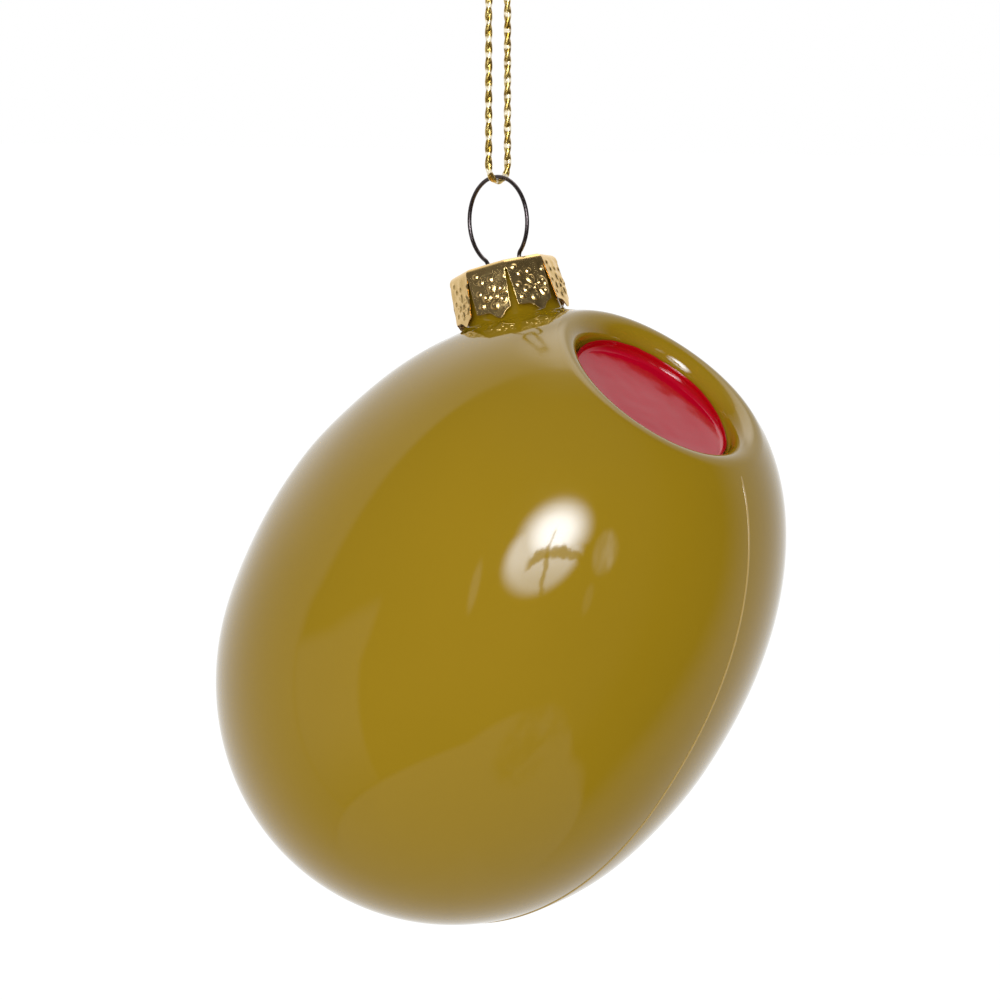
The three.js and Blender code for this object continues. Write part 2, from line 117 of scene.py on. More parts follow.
def mesh_object(name, points, faces, crease=60, weld=2e-4):
    """An object of points welded within a distance, normals outwards, edges past an angle sharp."""
    mesh = bpy.data.meshes.new(name)
    mesh.from_pydata((np.asarray(points, float) * MM).tolist(), [], [tuple(map(int, f)) for f in faces])
    work = bmesh.new()
    work.from_mesh(mesh)
    bmesh.ops.remove_doubles(work, verts=work.verts, dist=weld * MM)
    bmesh.ops.dissolve_degenerate(work, edges=work.edges, dist=weld * MM / 4)
    bmesh.ops.recalc_face_normals(work, faces=work.faces)
    work.to_mesh(mesh)
    work.free()
    mesh.polygons.foreach_set("use_smooth", [True] * len(mesh.polygons))
    mesh.set_sharp_from_angle(angle=math.radians(crease))
    made = bpy.data.objects.new(name, mesh)
    bpy.context.scene.collection.objects.link(made)
    return made


def grid_faces(rows, columns, closed=False, start=0):
    """Quads of a grid of points numbered row by row from start."""
    def number(i, j):
        return start + i * columns + j % columns

    return [
        (number(i, j), number(i, j + 1), number(i + 1, j + 1), number(i + 1, j))
        for i in range(rows - 1) for j in range(columns if closed else columns - 1)
    ]


def end_faces(rows, columns):
    """The two ends of a closed grid."""
    top = (rows - 1) * columns
    return [tuple(range(columns)), tuple(range(top + columns - 1, top - 1, -1))]


def smooth_route(controls, steps):
    """Centripetal Catmull-Rom curve through the controls, at even distances along it."""
    points = np.asarray(controls, float)
    points = np.vstack((2 * points[0] - points[1], points, 2 * points[-1] - points[-2]))
    fine = []
    for p0, p1, p2, p3 in zip(points, points[1:], points[2:], points[3:]):
        knots = [0.0]
        for a, b in ((p0, p1), (p1, p2), (p2, p3)):
            knots.append(knots[-1] + max(np.linalg.norm(b - a), 1e-9) ** 0.5)
        t0, t1, t2, t3 = knots
        t = np.linspace(t1, t2, 24, endpoint=False)[:, None]

        def mixed(a, b, p, q):
            return (b - t) / (b - a) * p + (t - a) / (b - a) * q

        a1, a2, a3 = mixed(t0, t1, p0, p1), mixed(t1, t2, p1, p2), mixed(t2, t3, p2, p3)
        fine.append(mixed(t1, t2, mixed(t0, t2, a1, a2), mixed(t1, t3, a2, a3)))
    fine = np.vstack((*fine, points[-2]))
    run = np.concatenate(([0], np.cumsum(np.linalg.norm(np.diff(fine, axis=0), axis=1))))
    along = np.linspace(0, run[-1], steps)
    return np.stack([np.interp(along, run, fine[:, i]) for i in range(3)], 1), along


def rings_round(route, angles, reach):
    """Tangents of a route, and rings of points round it, at angles that turn as little as possible."""
    tangents = np.gradient(route, axis=0)
    tangents /= np.linalg.norm(tangents, axis=1)[:, None]
    helper = np.eye(3)[np.argmin(np.abs(tangents[0]))]
    normal = unit(np.cross(tangents[0], helper))
    normals = []
    for tangent in tangents:
        normal = unit(normal - tangent * normal.dot(tangent))
        normals.append(normal)
    normals = np.array(normals)
    others = np.cross(tangents, normals)
    return tangents, (
        route[:, None] + normals[:, None] * (np.cos(angles) * reach)[..., None]
        + others[:, None] * (np.sin(angles) * reach)[..., None]
    ).reshape(-1, 3)


def swept(route, radius, sides, tip=0.35):
    """Points and faces of a round tube whose ends rise to a point by a share of its radius."""
    tangents, points = rings_round(route, np.arange(sides) * TAU / sides, radius)
    faces = grid_faces(len(route), sides, closed=True)
    first, last = len(points), len(points) + 1
    tips = (route[0] - tangents[0] * radius * tip, route[-1] + tangents[-1] * radius * tip)
    points = np.vstack((points, *tips))
    top = (len(route) - 1) * sides
    for j in range(sides):
        k = (j + 1) % sides
        faces += [(first, k, j), (last, top + j, top + k)]
    return points, faces


def joined(parts):
    """Several lots of points and faces as one."""
    points, faces, start = [], [], 0
    for some, theirs in parts:
        points.append(np.asarray(some))
        faces += [tuple(i + start for i in face) for face in theirs]
        start += len(some)
    return np.vstack(points), faces


# Materials

# Where the lacquer has run a little, and how far round it
RUNS_CENTRE = OLIVE_CENTRE + VIEW_BACK * 27 + VIEW_RIGHT * 8 + VIEW_UP * 25
RUNS_REACH = 17


def new_material(name):
    material = bpy.data.materials.new(name)
    material.use_nodes = True
    tree = material.node_tree
    return material, tree, tree.nodes["Principled BSDF"]


def linear(colour):
    """A linear colour from eight-bit sRGB."""
    parts = [c / 255 for c in colour]
    return tuple(c / 12.92 if c <= 0.04045 else ((c + 0.055) / 1.055) ** 2.4 for c in parts) + (1.0,)


def plug(tree, socket, value):
    """Links a socket's output to a socket, or sets a plain value on it."""
    if isinstance(value, bpy.types.NodeSocket):
        tree.links.new(value, socket)
    else:
        socket.default_value = value


def set_inputs(tree, node, values):
    for name, value in values.items():
        plug(tree, node.inputs[name], value)


def add_node(tree, kind, inputs=None, **settings):
    """A node with its settings, and its inputs by name or number."""
    node = tree.nodes.new("ShaderNode" + kind)
    for name, value in settings.items():
        setattr(node, name, value)
    set_inputs(tree, node, inputs or {})
    return node


def maths(tree, operation, *values):
    return add_node(tree, "Math", dict(enumerate(values)), operation=operation).outputs[0]


def all_by(tree, operation, *values):
    """An operation of two numbers, taken over several."""
    return functools.reduce(functools.partial(maths, tree, operation), values)


def scaled(tree, value, factor, offset=0.0):
    return maths(tree, "MULTIPLY_ADD", value, factor, offset)


def step(tree, value, low, high):
    """Rises smoothly from 0 to 1 as value goes from low to high."""
    flip = low > high
    inputs = dict(enumerate((value, min(low, high), max(low, high), flip * 1.0, (not flip) * 1.0)))
    return add_node(tree, "MapRange", inputs, interpolation_type="SMOOTHSTEP").outputs[0]


def object_place(tree):
    return add_node(tree, "TexCoord").outputs["Object"]


def against(tree, operation, vector, fixed):
    """The number that an operation makes of a vector's socket and a fixed vector."""
    inputs = {0: vector, 1: [float(v) for v in fixed]}
    return add_node(tree, "VectorMath", inputs, operation=operation).outputs["Value"]


def speckle(tree, scale, detail=2.0, roughness=0.5, stretch=(1, 1, 1), vector=None):
    """Noise about 0.5 on average, in object coordinates unless a vector is given."""
    mapping = add_node(tree, "Mapping", {"Scale": stretch, "Vector": vector or object_place(tree)})
    return add_node(tree, "TexNoise", {
        "Scale": scale, "Detail": detail, "Roughness": roughness, "Vector": mapping.outputs[0],
    }).outputs["Fac"]


def blend_colours(tree, factor, first, second):
    inputs = {"Factor": factor, "A": first, "B": second}
    return add_node(tree, "Mix", inputs, data_type="RGBA").outputs["Result"]


def relief(tree, shader, height, distance, strength):
    bump = add_node(tree, "Bump", {"Distance": distance * MM, "Strength": strength, "Height": height})
    tree.links.new(bump.outputs[0], shader.inputs["Normal"])


def olive_lacquer(name, light, dark):
    """Glossy lacquer that drifts in tone, on glass a little uneven, with thin runs near the lip."""
    material, tree, shader = new_material(name)
    drift = speckle(tree, scale=26, detail=3)
    away = against(tree, "DISTANCE", object_place(tree), RUNS_CENTRE * MM)
    near = step(tree, away, RUNS_REACH * MM, RUNS_REACH * MM / 3)
    runs = speckle(tree, scale=160, stretch=(1, 1, 5))
    swells = speckle(tree, scale=70, detail=1.5, roughness=0.4)
    sheen = scaled(tree, speckle(tree, scale=60), 0.03, 0.035)
    set_inputs(tree, shader, {
        "Base Color": blend_colours(tree, step(tree, drift, 0.3, 0.7), linear(dark), linear(light)),
        "Roughness": scaled(tree, near, 0.11, sheen),
        "IOR": 1.5,
    })
    height = scaled(tree, maths(tree, "MULTIPLY", near, runs), 0.35, swells)
    relief(tree, shader, height, distance=0.05, strength=0.5)
    return material


def red_enamel(foot):
    """Red enamel, deeper above a height along the olive, where it climbs the wall of the recess: thicker
    there, and in part painted shade for the dark that its steep edge reflects.
    """
    material, tree, shader = new_material("red_enamel")
    drift = speckle(tree, scale=120, detail=4)
    pool = blend_colours(tree, drift, linear((180, 2, 32)), linear((192, 4, 40)))
    # Deeper red where the enamel climbs the wall: thicker enamel, and in part painted shade
    climb_and_painted_shade = blend_colours(tree, drift, linear((164, 0, 12)), linear((180, 2, 18)))
    height = against(tree, "DOT_PRODUCT", object_place(tree), LONG)
    foot = (OLIVE_CENTRE @ LONG + foot) * MM
    set_inputs(tree, shader, {
        "Base Color": blend_colours(tree, step(tree, height, foot, foot + 0.3 * MM), pool, climb_and_painted_shade),
        "Roughness": 0.1,
        "IOR": 1.38,
    })
    relief(tree, shader, speckle(tree, scale=260), distance=0.04, strength=0.4)
    return material


def gold_sheet():
    material, tree, shader = new_material("gold_sheet")
    drift = speckle(tree, scale=500, detail=3)
    set_inputs(tree, shader, {
        "Base Color": blend_colours(tree, drift, linear((230, 190, 116)), linear((246, 212, 146))),
        "Metallic": 1,
        "Roughness": scaled(tree, speckle(tree, scale=900, detail=3), 0.14, 0.2),
    })
    relief(tree, shader, speckle(tree, scale=800), distance=0.03, strength=0.5)
    return material


def spring_wire():
    material, tree, shader = new_material("spring_wire")
    drift = speckle(tree, scale=700, detail=3, stretch=(1, 1, 0.3))
    set_inputs(tree, shader, {
        "Base Color": blend_colours(tree, drift, linear((78, 68, 68)), linear((112, 102, 100))),
        "Metallic": 1,
        "Roughness": scaled(tree, drift, 0.12, 0.26),
    })
    return material


def gold_cord():
    """Gold tinsel, with a painted highlight: a pale, barely metallic band at each half turn of the twist.
    """
    material, tree, shader = new_material("gold_cord")
    fine = speckle(tree, scale=1700, roughness=0.6)
    lay = add_node(tree, "Attribute", attribute_name="lay")
    # Painted highlight: near-white, barely metallic bands at each half turn, where a ply faces the camera
    wave = maths(tree, "COSINE", maths(tree, "MULTIPLY", lay.outputs["Fac"], TAU))
    highlight = step(tree, scaled(tree, fine, 1.6, maths(tree, "SUBTRACT", wave, 0.8)), 0.45, 1.05)
    worn = step(tree, fine, 0.38, 0.6)
    tinsel = blend_colours(tree, worn, linear((176, 138, 52)), linear((240, 208, 122)))
    set_inputs(tree, shader, {
        "Base Color": blend_colours(tree, highlight, tinsel, linear((252, 242, 214))),
        "Metallic": scaled(tree, highlight, -0.9, 0.95),
        "Roughness": scaled(tree, fine, 0.2, 0.25),
    })
    relief(tree, shader, fine, distance=0.05, strength=0.6)
    return material


LACQUER = olive_lacquer("olive_lacquer", (152, 122, 20), (148, 119, 16))
# The seam's lacquer is painted paler: a painted highlight along the ridge
SEAM_HIGHLIGHT_LACQUER = olive_lacquer("seam_highlight_lacquer", (186, 158, 98), (178, 150, 88))
GOLD, STEEL, CORD = gold_sheet(), spring_wire(), gold_cord()


def finished(piece, material, body, slot, *nodes):
    piece.data.materials.append(material)
    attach(piece, body)
    if nodes:
        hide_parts(*nodes)
    return piece


# Cord: two metallic plies twisted round each other

TWIST_LEAD = 3.904
HIGHLIGHT_PLACE = 0.78  # of a half turn, from where the cord leaves the knot to its first painted highlight band
PLY_RADIUS, PLY_ORBIT, PLY_SIDES, FIBRE_RELIEF = 0.32, 0.13, 44, 0.008
CORD_TWIST = 0.22  # of a turn, where the cord leaves the knot
CORD_STEPS, CORD_NAMED_STEP = 1001, 25
GATHER, GATHER_REACH = 0.28, 1.3  # how much the cord is squeezed over the wire, and how far along
CORD_SIDE = [
    (0.9, -2.23), (1.24, -3.1), (1.58, -4.2), (1.81, -5.4), (1.9, -6.9), (1.9, -10), (1.9, -14), (1.9, -18),
    (1.9, -21.5), (1.9, -23.5), (1.9, -25.4), (1.76, -26.13), (1.34, -26.74), (0.73, -27.16),
]
CORD_BIGHT = (0, -27.3)


def twisted(route, along, phase, squeeze):
    """A two-ply cord along a route: its section is two overlapping rounds that turn with the twist."""
    section = (np.arange(PLY_SIDES) + 0.5) * TAU / PLY_SIDES
    fibres = FIBRE_RELIEF * np.cos(section * PLY_SIDES / 2)
    lobes = PLY_ORBIT * np.abs(np.cos(section))
    radius = lobes + np.sqrt(PLY_RADIUS ** 2 - (PLY_ORBIT * np.sin(section)) ** 2)
    angle = section[None] + (TAU * along / TWIST_LEAD + phase)[:, None]
    _, points = rings_round(route, angle, (radius + fibres)[None] * squeeze[:, None])
    size = len(route), PLY_SIDES
    return points, grid_faces(*size, closed=True) + end_faces(*size)


def marked(piece, *routes):
    """Notes at each point of a cord how many half turns of the twist lie before it."""
    nearest = kdtree.KDTree(sum(len(points) for points, _ in routes))
    turns = np.concatenate([run / (TWIST_LEAD / 2) for _, run in routes])
    for i, point in enumerate(np.vstack([points for points, _ in routes]) * MM):
        nearest.insert(Vector(point), i)
    nearest.balance()
    # The lay also places the cord's painted highlight bands
    lay = piece.data.attributes.new("lay", "FLOAT", "POINT")
    lay.data.foreach_set("value", [turns[nearest.find(v.co)[1]] + HIGHLIGHT_PLACE for v in piece.data.vertices])


def cord_route(steps):
    side = [(0, y, z) for y, z in CORD_SIDE]
    mirrored = [(0, -y, z) for y, z in CORD_SIDE]
    return smooth_route(mirrored + [(0, *CORD_BIGHT)] + side[::-1], steps)


route, along = cord_route(CORD_STEPS)
gathered = 1 - GATHER * np.exp(-(((along - along[-1] / 2) / GATHER_REACH) ** 2))
cord = mesh_object("cord", *twisted(route, along, CORD_TWIST * TAU, gathered), crease=50)
marked(cord, (route, along))
finished(cord, CORD, "cord", "gold_cord", "cord_loop")


# Knot with its two tails: one strand's way through it, and the other goes the same way turned half round

KNOT_STEPS, KNOT_TWIST = 360, 0.6
KNOT_TURNS = [
    (0, -0.9, -2.2), (0.1, -0.75, -1.75), (0.9, -0.6, -1.15), (1.5, 0.15, -0.75), (1.1, 1.25, -0.3),
    (-0.1, 1.6, 0.05), (-1.25, 1.05, 0.3), (-1.5, -0.2, 0.45), (-0.7, -1.25, 0.7), (0.5, -1.25, 1.0),
    (1.0, -0.4, 1.35), (0.45, 0.45, 1.75), (0.2, 0.85, 2.6), (0.28, 1.35, 4.4), (0.33, 1.9, 6.4),
    (0.33, 2.2, 8.1),
]
knot_parts, knot_routes = [], []
for way in (1, -1):
    path, run = smooth_route([(way * x, way * y, z) for x, y, z in KNOT_TURNS], KNOT_STEPS)
    knot_parts.append(twisted(path, run, KNOT_TWIST * way, np.ones(KNOT_STEPS)))
    knot_routes.append((path, run))
knot = mesh_object("cord_knot_tied", *joined(knot_parts), crease=50)
marked(knot, *knot_routes)
finished(knot, CORD, "knot", "gold_cord", "cord_knot")


# Olive

OLIVE_LENGTH, OLIVE_WIDTH = 80.3, 61.0
BLOSSOM_FULLNESS, PIMENTO_FULLNESS = 2.05, 2.42
OLIVE_TAPER, PIMENTO_WAIST = 0.078, 0.035
GLASS_WALL = 1.0
RECESS_RADIUS, RECESS_FLOOR_RADIUS, RECESS_DEPTH, RECESS_FILLET = 10.75, 10.3, 4.0, 0.8
LIP_RADIUS = 2.2
NECK_RIM_RADIUS, NECK_ROOT_RADIUS, NECK_FILLET = 5.3, 5.8, 1.7
BORE_RADIUS, RIM_ROUNDING = 4.6, 0.35
CAP_SET = 0.2  # how much lower the cap sits than its CAD place
NECK_RIM_HEIGHT = CAP_TOP_HEIGHT - 0.45 - CAP_SET

# Unevenness of the blown skin: each swell's angle in the camera's plane, reach in degrees, height
SKIN_SWELLS = ((30, 14, 0.25), (62, 12, -0.3), (138, 12, 0.3), (168, 12, -0.22), (306, 13, -0.2))
NECK_DIP, NECK_DIP_REACH = 0.5, 9.5
NECK_RIPPLE, NECK_RIPPLE_REACH, NECK_RIPPLE_SCALE = 0.11, 4.5, 0.42
SKIN_END = 40.1  # the last height along the olive where its skin has a slope
EVEN_FROM, EVEN_RADIUS, EVEN_REACH = 30, 11.2, 4.5  # the lip stays even: from what height, how far out

# The mesh is cut open round the neck and the bore, and stitched to rings of points there
NECK_HOLE, NECK_HOLE_REACH, NECK_PATCH = 8.4, 12, 7.9
BORE_HOLE, BORE_HOLE_REACH = 5.2, 9
SKIN_ROWS, SKIN_COLUMNS, INNER_ROWS, INNER_COLUMNS, NECK_COLUMNS = 190, 240, 90, 120, 160


def olive_radius(u):
    share = np.clip(np.asarray(u, float) / (OLIVE_LENGTH / 2), -1, 1)
    fullness = np.where(share > 0, PIMENTO_FULLNESS, BLOSSOM_FULLNESS)
    full = (1 - np.abs(share) ** fullness) ** (1 / fullness)
    return OLIVE_WIDTH / 2 * full * (1 - OLIVE_TAPER * share - PIMENTO_WAIST * np.maximum(share, 0) ** 2)


def outline(angle):
    """Radius, height and outward normal of the olive's outline, by an angle from the pimento end."""
    def at(a):
        cosine = np.cos(a)
        fullness = np.where(cosine > 0, PIMENTO_FULLNESS, BLOSSOM_FULLNESS)
        u = OLIVE_LENGTH / 2 * np.sign(cosine) * np.abs(cosine) ** (2 / fullness)
        return np.stack((olive_radius(u), u), -1)
    angle = np.asarray(angle, float)
    point = at(angle)
    tangent = at(np.minimum(angle + 1e-3, math.pi)) - at(angle - 1e-3)
    normal = np.stack((-tangent[..., 1], tangent[..., 0]), -1)
    normal /= np.linalg.norm(normal, axis=-1)[..., None]
    normal[angle >= math.pi] = (0, -1)
    return point, normal


def within_lip(angle):
    """Whether a lip that starts at an outline angle would narrow the recess."""
    point, normal = outline(np.array([angle]))
    return point[0, 0] - LIP_RADIUS * normal[0, 0] < RECESS_RADIUS + LIP_RADIUS


LIP_ANGLE = bisected(0.05, math.pi / 2, within_lip)
lip_point, lip_normal = (a[0] for a in outline(np.array([LIP_ANGLE])))
LIP_CENTRE = lip_point - LIP_RADIUS * lip_normal
LIP_CREST = LIP_CENTRE[1] + LIP_RADIUS
RECESS_FLOOR = LIP_CREST - RECESS_DEPTH


def arc_points(centre, radius, start, end, steps):
    angles = np.linspace(start, end, steps)
    return np.stack((centre[0] + radius * np.cos(angles), centre[1] + radius * np.sin(angles)), -1)


def olive_profile(inset, stations, detail):
    """Radius and height from the blossom end over the lip, into the recess and to the axis."""
    angles = np.linspace(math.pi, LIP_ANGLE, stations, endpoint=False)
    point, normal = outline(angles)
    side = point - inset * normal
    side[0, 0] = 0
    start = math.atan2(lip_normal[1], lip_normal[0])
    corner = (RECESS_FLOOR_RADIUS - RECESS_FILLET, RECESS_FLOOR + RECESS_FILLET)
    lip = arc_points(LIP_CENTRE, LIP_RADIUS - inset, start, math.pi, 3 * detail)
    fillet = arc_points(corner, RECESS_FILLET + inset, 0, -math.pi / 2, detail)
    wall = np.linspace(lip[-1], fillet[0], detail, endpoint=False)[1:]
    floor = np.linspace(fillet[-1], (0, fillet[-1][1]), 2 * detail)[1:]
    return np.vstack((side, lip, wall, fillet, floor))


def spokes(count):
    """Even angles round the olive's long axis, and directions away from it at them."""
    angles = np.arange(count) * TAU / count
    return angles, ACROSS * np.cos(angles)[:, None] + SIDE * np.sin(angles)[:, None]


def turned(profile, segments):
    return profile[:, None, :1] * spokes(segments)[1] + profile[:, None, 1:] * LONG


def skin_normal(points):
    """Outward normals of the olive's outline at points on it, from its middle."""
    u = points @ LONG
    off = points - u[:, None] * LONG
    away = off / np.maximum(np.linalg.norm(off, axis=1), 1e-9)[:, None]
    small = 1e-3
    slope = (olive_radius(np.minimum(u + small, SKIN_END)) - olive_radius(u - small)) / (2 * small)
    normal = away - slope[:, None] * LONG
    return normal / np.linalg.norm(normal, axis=1)[:, None]


def uneven(points):
    """Moves points of the skin in or out by the unevenness of the glass."""
    points = np.asarray(points, float)
    flat = points.reshape(-1, 3)
    direction = flat / np.linalg.norm(flat, axis=1)[:, None]
    height = np.zeros(len(flat))
    for angle, reach, swell in SKIN_SWELLS:
        towards = VIEW_RIGHT * math.cos(math.radians(angle)) + VIEW_UP * math.sin(math.radians(angle))
        off = np.degrees(np.arccos(np.clip(direction @ towards, -1, 1)))
        height += swell * np.exp(-((off / reach) ** 2))
    beside = flat @ NECK_ACROSS - NECK_OFFSET
    from_neck = np.hypot(beside, flat @ SIDE)
    above = flat @ NECK > 0
    height -= above * NECK_DIP * np.exp(-((from_neck / NECK_DIP_REACH) ** 2))
    fade = above * NECK_RIPPLE * np.exp(-(((from_neck - NECK_ROOT_RADIUS) / NECK_RIPPLE_REACH) ** 2))
    for i in np.flatnonzero(fade > 0.002):
        height[i] += fade[i] * noise.noise(Vector(flat[i] * NECK_RIPPLE_SCALE))
    u = flat @ LONG
    radius = np.linalg.norm(flat - u[:, None] * LONG, axis=1)
    on_skin = np.clip((radius - EVEN_RADIUS) / EVEN_REACH, 0, 1) ** 2 * (u > EVEN_FROM) + (u <= EVEN_FROM)
    moved = flat + skin_normal(flat) * (height * on_skin)[:, None]
    return moved.reshape(points.shape)


def neck_point(angle, radius, height):
    return (
        NECK_ACROSS * (NECK_OFFSET + radius * np.cos(angle))[:, None]
        + SIDE * (radius * np.sin(angle))[:, None]
        + NECK * np.broadcast_to(height, angle.shape)[:, None]
    )


def skin_height(angle, radius, profile=None):
    """Height along the neck's axis at which lines beside it leave the olive, or a given profile."""
    foot = neck_point(angle, radius, 0)
    low, high = np.zeros(len(angle)), np.full(len(angle), OLIVE_LENGTH)
    for _ in range(40):
        middle = (low + high) / 2
        point = foot + NECK * middle[:, None]
        u = point @ LONG
        off = np.linalg.norm(point - u[:, None] * LONG, axis=1)
        limit = olive_radius(u) if profile is None else np.interp(u, profile[:, 1], profile[:, 0], right=0)
        inside = (np.abs(u) < OLIVE_LENGTH / 2) & (off < limit)
        low, high = np.where(inside, middle, low), np.where(inside, high, middle)
    return (low + high) / 2


def around_neck(points):
    """Positions in the plane square to the neck's axis."""
    return np.stack((points @ NECK_ACROSS - NECK_OFFSET, points @ SIDE), -1)


def opened(rings, hole):
    """Faces of a turned grid, less those within a hole round the neck."""
    rows, columns = rings.shape[:2]
    flat = rings.reshape(-1, 3)
    near = (np.linalg.norm(around_neck(flat), axis=1) < hole) & (flat @ NECK > 0)
    return [f for f in grid_faces(rows, columns, closed=True) if not any(near[i] for i in f)]


def edge_of_hole(faces, points, reach):
    """Edges with one face, within a reach of the neck's axis."""
    count = collections.Counter(
        (min(edge), max(edge)) for face in faces for edge in zip(face, face[1:] + face[:1]))
    near = (np.linalg.norm(around_neck(points), axis=1) < reach) & (points @ NECK > 0)
    return [edge for edge, times in count.items() if times == 1 and near[edge[0]] and near[edge[1]]]


def enclosed(place, ends):
    """Whether loops of edges, given by their ends, have a place inside them."""
    (x0, y0), (x1, y1) = ends[:, 0].T, ends[:, 1].T
    crossing = (y0 > place[1]) != (y1 > place[1])
    where = x0 + (place[1] - y0) / np.where(y1 == y0, 1, y1 - y0) * (x1 - x0)
    return np.count_nonzero(crossing & (where > place[0])) % 2 == 1


def stitched(points, outer_edges, ring):
    """Triangles between the ragged edge of a hole and an even ring of points inside it."""
    outer = sorted({i for edge in outer_edges for i in edge})
    numbers = outer + list(ring)
    place = {number: i for i, number in enumerate(numbers)}
    flat = around_neck(points[numbers])
    edges = [(place[a], place[b]) for a, b in outer_edges]
    edges += [(place[ring[i - 1]], place[ring[i]]) for i in range(len(ring))]
    result = geometry.delaunay_2d_cdt([Vector(p) for p in flat], edges, [], 0, 1e-6)
    found, triangles, origins = result[0], result[2], result[3]
    ring_radius = np.linalg.norm(flat[len(outer):], axis=1).mean()
    ends = np.array([[flat[a], flat[b]] for a, b in edges[:len(outer_edges)]])
    faces = []
    for triangle in triangles:
        middle = np.mean([found[i] for i in triangle], axis=0)
        in_ring = np.linalg.norm(middle) < ring_radius * math.cos(math.pi / len(ring))
        if not in_ring and enclosed(middle, ends):
            faces.append(tuple(numbers[origins[i][0]] for i in triangle))
    return faces


def glass_mesh():
    """The olive's skin, lip and recess, its neck and bore, and the hollow inside, as one shell."""
    rings = uneven(turned(olive_profile(0, SKIN_ROWS, 8), SKIN_COLUMNS))
    faces = opened(rings, NECK_HOLE)
    flat = rings.reshape(-1, 3)
    ragged = edge_of_hole(faces, flat, NECK_HOLE_REACH)

    # Up the neck, over its rim and down the bore
    angles = np.arange(NECK_COLUMNS) * TAU / NECK_COLUMNS

    def on_skin(radius):
        return uneven(neck_point(angles, radius, skin_height(angles, radius)))

    patch = [on_skin(radius) for radius in np.linspace(NECK_PATCH, NECK_ROOT_RADIUS + NECK_FILLET, 5)]
    foot_height, foot_radius = patch[-1] @ NECK, np.linalg.norm(around_neck(patch[-1]), axis=1)
    root = on_skin(NECK_ROOT_RADIUS) @ NECK
    way_up = np.linspace(0, 1, 9)[1:]
    for t in way_up:
        height = (1 - t) ** 2 * foot_height + 2 * t * (1 - t) * root + t ** 2 * (root + NECK_FILLET)
        radius = (1 - t) ** 2 * foot_radius + (1 - (1 - t) ** 2) * NECK_ROOT_RADIUS
        patch.append(neck_point(angles, radius, height))
    shoulder = NECK_RIM_HEIGHT - RIM_ROUNDING
    start = patch[-1] @ NECK
    for t in way_up:
        radius = NECK_ROOT_RADIUS + (NECK_RIM_RADIUS - NECK_ROOT_RADIUS) * t
        patch.append(neck_point(angles, radius, start + (shoulder - start) * t))
    for turn in np.linspace(0, math.pi, 13)[1:]:
        radius = NECK_RIM_RADIUS - (NECK_RIM_RADIUS - BORE_RADIUS) / 2 * (1 - math.cos(turn))
        patch.append(neck_point(angles, radius, shoulder + RIM_ROUNDING * math.sin(turn)))
    inner_profile = olive_profile(GLASS_WALL, INNER_ROWS, 4)
    bore_foot = skin_height(angles, BORE_RADIUS, inner_profile[:INNER_ROWS])
    for t in way_up:
        patch.append(neck_point(angles, BORE_RADIUS, shoulder + (bore_foot - shoulder) * t))

    start = len(flat)
    points = np.vstack((flat, *patch))
    faces += stitched(points, ragged, list(range(start, start + NECK_COLUMNS)))
    faces += grid_faces(len(patch), NECK_COLUMNS, closed=True, start=start)

    inner = turned(inner_profile, INNER_COLUMNS)
    inner_faces = opened(inner, BORE_HOLE)
    ragged = edge_of_hole(inner_faces, inner.reshape(-1, 3), BORE_HOLE_REACH)
    shift = len(points)
    points = np.vstack((points, inner.reshape(-1, 3)))
    faces += [tuple(i + shift for i in face) for face in inner_faces]
    ragged = [(a + shift, b + shift) for a, b in ragged]
    faces += stitched(points, ragged, list(range(shift - NECK_COLUMNS, shift)))
    return points + OLIVE_CENTRE, faces


glass = mesh_object("glass_olive", *glass_mesh(), crease=50, weld=1e-3)
finished(glass, LACQUER, "glass", "olive_lacquer", "glass_body")


SEAM_SECTION = (
    (-0.2, -0.12), (-0.16, 0.01), (-0.09, 0.08), (0, 0.11), (0.09, 0.08), (0.16, 0.01), (0.2, -0.12),
)
SEAM_TAPER, SEAM_SINK = 2.5, 0.02
SEAM_FROM_NECK = 6.75
SEAM_FROM_LIP, SEAM_FROM_END, PAST_NECK = 0.02, 0.003, 2.2  # outline angles


def seam_strip(angles, flank, tapered):
    """A low rounded ridge along the outline, on one flank of the olive or the other."""
    point, _ = outline(angles)
    base = uneven(point[:, :1] * (ACROSS * flank)[None] + point[:, 1:] * LONG[None])
    normal = skin_normal(base)
    run = np.concatenate(([0], np.cumsum(np.linalg.norm(np.diff(base, axis=0), axis=1))))
    full = np.clip(run / SEAM_TAPER, 0, 1) if tapered else np.ones(len(run))
    sunk = SEAM_SINK * (1 - full)
    rings = np.stack([
        base + SIDE * across + normal * (max(rise, 0) * full + min(rise, 0) - sunk)[:, None]
        for across, rise in SEAM_SECTION
    ], 1)
    size = len(angles), len(SEAM_SECTION)
    return rings.reshape(-1, 3) + OLIVE_CENTRE, grid_faces(*size, closed=True) + end_faces(*size)


def beside_neck(angle):
    """Distance from the neck's axis to the point at an outline angle, on the neck's flank."""
    point, _ = outline(np.array([angle]))
    return abs((point[0, 0] * ACROSS + point[0, 1] * LONG) @ NECK_ACROSS - NECK_OFFSET)


neck_angle = min(np.linspace(LIP_ANGLE, 2, 2000), key=beside_neck)
near_lip, past_neck = (
    bisected(low, neck_angle, lambda angle: beside_neck(angle) > SEAM_FROM_NECK)
    for low in (LIP_ANGLE, PAST_NECK)
)
seam_start, seam_end = LIP_ANGLE + SEAM_FROM_LIP, math.pi - SEAM_FROM_END
seam = mesh_object("mould_seam", *joined((
    seam_strip(np.linspace(seam_start, near_lip, 20), 1, tapered=True),
    seam_strip(np.linspace(past_neck, seam_end, 220), 1, tapered=False),
    seam_strip(np.linspace(seam_start, seam_end, 260), -1, tapered=True),
)), crease=70, weld=1e-4)
finished(seam, SEAM_HIGHLIGHT_LACQUER, "glass", "olive_lacquer", "glass_body")


# Pimento: a pool of enamel with a concave edge that climbs the wall of the recess

